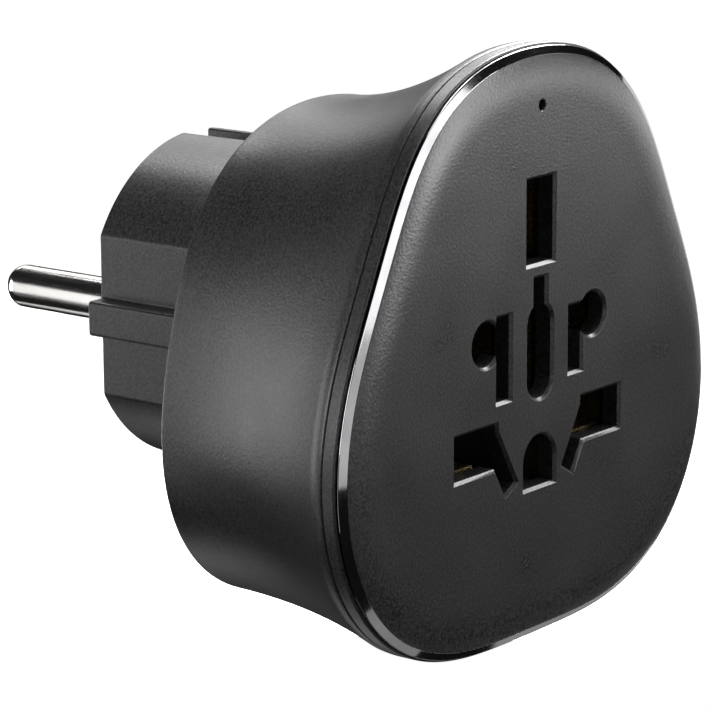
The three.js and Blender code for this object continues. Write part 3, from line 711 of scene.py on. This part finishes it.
def clear_lens():
    n = Nodes("clear_lens")
    n.link(Roughness=n.ramp(n.noise(1), 0.08, 0.16), Normal=n.bump(n.noise(0.6), 0.05, 0.01))
    return n.set(Base_Color=(0.92, 0.94, 0.96, 1), Transmission_Weight=0.85, IOR=1.49)


def vinyl(name, dark, light):
    n = Nodes(name)
    soft = n.noise(1.2, 3)
    n.link(
        Base_Color=n.ramp(soft, dark, light),
        Roughness=n.ramp(soft, 0.35, 0.5),
        Normal=n.bump(soft, 0.2, 0.03),
    )
    return n.material


KEPT = {
    "brass": brass,
    "steel": steel,
    "insulator": insulator,
    "board": circuit_board(),
    "ceramic": lacquer(),
    "lens": clear_lens(),
    "red_insulation": vinyl("red_vinyl", (0.3, 0.02, 0.015), (0.45, 0.035, 0.025)),
    "blue_insulation": vinyl("blue_vinyl", (0.015, 0.05, 0.3), (0.025, 0.08, 0.42)),
}
SOFT_EDGE = {"brass": 0.08, "steel": 0.12, "insulator": 0.15, "board": 0.08, "ceramic": 0.05, "lens": 0.1}

for part in frame["record"]["subparts"]:
    slot = part["material_slot"]
    node = frame["nodes"][part["node"]]
    if slot not in KEPT or node.hide_render:
        continue
    node.data.materials.clear()
    node.data.materials.append(KEPT[slot])
    if slot in SOFT_EDGE:
        edges = node.modifiers.new("soft edges", "BEVEL")
        edges.width = SOFT_EDGE[slot] * MM
        edges.segments = 2
        edges.limit_method = "ANGLE"
        edges.angle_limit = math.radians(50)

# ---- floor, light and camera ----


def point(x, y, z):
    return Vector((x, y, z)) * MM


def direction(azimuth, elevation):
    """Unit vector at angles in degrees: azimuth 0 is -Y and 90 is +X, elevation is above the horizon."""
    a, e = math.radians(azimuth), math.radians(elevation)
    return Vector((math.sin(a) * math.cos(e), -math.cos(a) * math.cos(e), math.sin(e)))


def stage_material():
    n = Nodes("pale_stage")
    cloud = n.noise(400, 3)
    n.link(Base_Color=n.ramp(cloud, (0.86, 0.86, 0.86), (0.9, 0.9, 0.9)), Roughness=n.ramp(cloud, 0.7, 0.8))
    n.shader.inputs["Emission Color"].default_value = (1, 1, 1, 1)
    return n.set(Emission_Strength=1.0)


FLOOR_Z = -140
STAGE_R = 2500
STAGE_CURVE = 900
STAGE_TOP = 3500
STAGE_SIDES = 96
CENTRE = (0, -15, 0)
LIGHT_DISTANCE = 400


def make_stage():
    """A pale floor that curves up into a round backdrop; it lights nothing, the softboxes do that."""
    floor_rings, curve_rings = 8, 12
    profile = [(STAGE_R * k / floor_rings, FLOOR_Z) for k in range(1, floor_rings + 1)]
    profile += [
        (STAGE_R + STAGE_CURVE * math.sin(t), FLOOR_Z + STAGE_CURVE * (1 - math.cos(t)))
        for t in quarter_turn(curve_rings)[1:]
    ]
    profile.append((STAGE_R + STAGE_CURVE, STAGE_TOP))
    bm = bmesh.new()
    rows = [[bm.verts.new(point(x, y, z)) for x, y in circle(0, 0, r, STAGE_SIDES)] for r, z in profile]
    for below, above in zip(rows, rows[1:]):
        for i in range(STAGE_SIDES):
            bm.faces.new((below[i - 1], below[i], above[i], above[i - 1]))
    bm.faces.new(rows[0])
    stage = made("stage", bm)
    stage.data.materials.append(stage_material())
    stage.data.shade_smooth()
    stage.visible_diffuse = stage.visible_glossy = stage.visible_transmission = False


def softbox(name, azimuth, elevation, width, height, radiance):
    """A soft light seen from the object at these angles, with its angular width and height, in degrees."""
    towards = direction(azimuth, elevation)
    side, rise = (2 * LIGHT_DISTANCE * MM * math.tan(math.radians(v) / 2) for v in (width, height))
    data = bpy.data.lights.new(name, "AREA")
    data.shape = "RECTANGLE"
    data.size = side
    data.size_y = rise
    data.energy = radiance * math.pi * side * rise
    lamp = bpy.data.objects.new(name, data)
    lamp.location = point(*CENTRE) + towards * LIGHT_DISTANCE * MM
    lamp.rotation_euler = towards.to_track_quat("Z", "Y").to_euler()
    lamp.visible_camera = False
    bpy.context.scene.collection.objects.link(lamp)


def make_world(strength):
    world = bpy.data.worlds.new("studio")
    bpy.context.scene.world = world
    world.use_nodes = True
    background = world.node_tree.nodes["Background"]
    background.inputs["Color"].default_value = (1, 1, 1, 1)
    background.inputs["Strength"].default_value = strength


def make_camera(azimuth, elevation, roll, distance, target, lens):
    """A camera at a distance from its target, seen from there at these angles, in degrees."""
    back = direction(azimuth, elevation)
    r = math.radians(roll)
    right = (-back).cross(Vector((0, 0, 1))).normalized()
    up = right.cross(-back)
    turned_right = math.cos(r) * right + math.sin(r) * up
    turned_up = -math.sin(r) * right + math.cos(r) * up
    data = bpy.data.cameras.new("camera")
    data.sensor_width = 36
    data.lens = lens
    data.clip_start = 0.01
    data.clip_end = 20
    camera = bpy.data.objects.new("camera", data)
    turn = Matrix((turned_right, turned_up, back)).transposed().to_4x4()
    camera.matrix_world = Matrix.Translation(point(*target) + back * distance * MM) @ turn
    bpy.context.scene.collection.objects.link(camera)
    bpy.context.scene.camera = camera


# azimuth, elevation, width and height in degrees, and radiance
SOFTBOXES = {
    "key": (105, 40, 24, 24, 38),
    "top back": (130, 58, 46, 18, 9),
    "overhead": (0, 86, 40, 36, 4),
    "right fill": (130, 30, 56, 18, 2),
    "right": (97, -3, 36, 22, 1),
    "right floor": (88, -35, 30, 18, 0.45),
    "upper right": (74, 38, 24, 18, 16),
    "front": (10, 22, 46, 24, 2.7),
    "front low": (-18, -2, 76, 24, 0.95),
    "front right": (35, 12, 16, 32, 9),
    "right horizon": (55, 1, 56, 10, 2.9),
    "left": (252, 12, 16, 26, 8),
    "left back": (208, 0, 26, 30, 3.5),
    "left low": (232, -7, 16, 48, 1.2),
    "back low": (150, -16, 20, 14, 12),
    "floor bounce": (145, -58, 56, 20, 0.8),
    "front floor": (28, -50, 28, 22, 0.45),
}

make_stage()
make_world(strength=0.01)  # hardly any: the softboxes make the light
for name, values in SOFTBOXES.items():
    softbox(name, *values)
# the angle, distance and lens of the photo
make_camera(
    azimuth=-51.874, elevation=13.003, roll=-0.313,
    distance=322.78, target=(-30.98, FACE, 4.91), lens=172.71,
)
bpy.context.scene.view_settings.view_transform = "Standard"
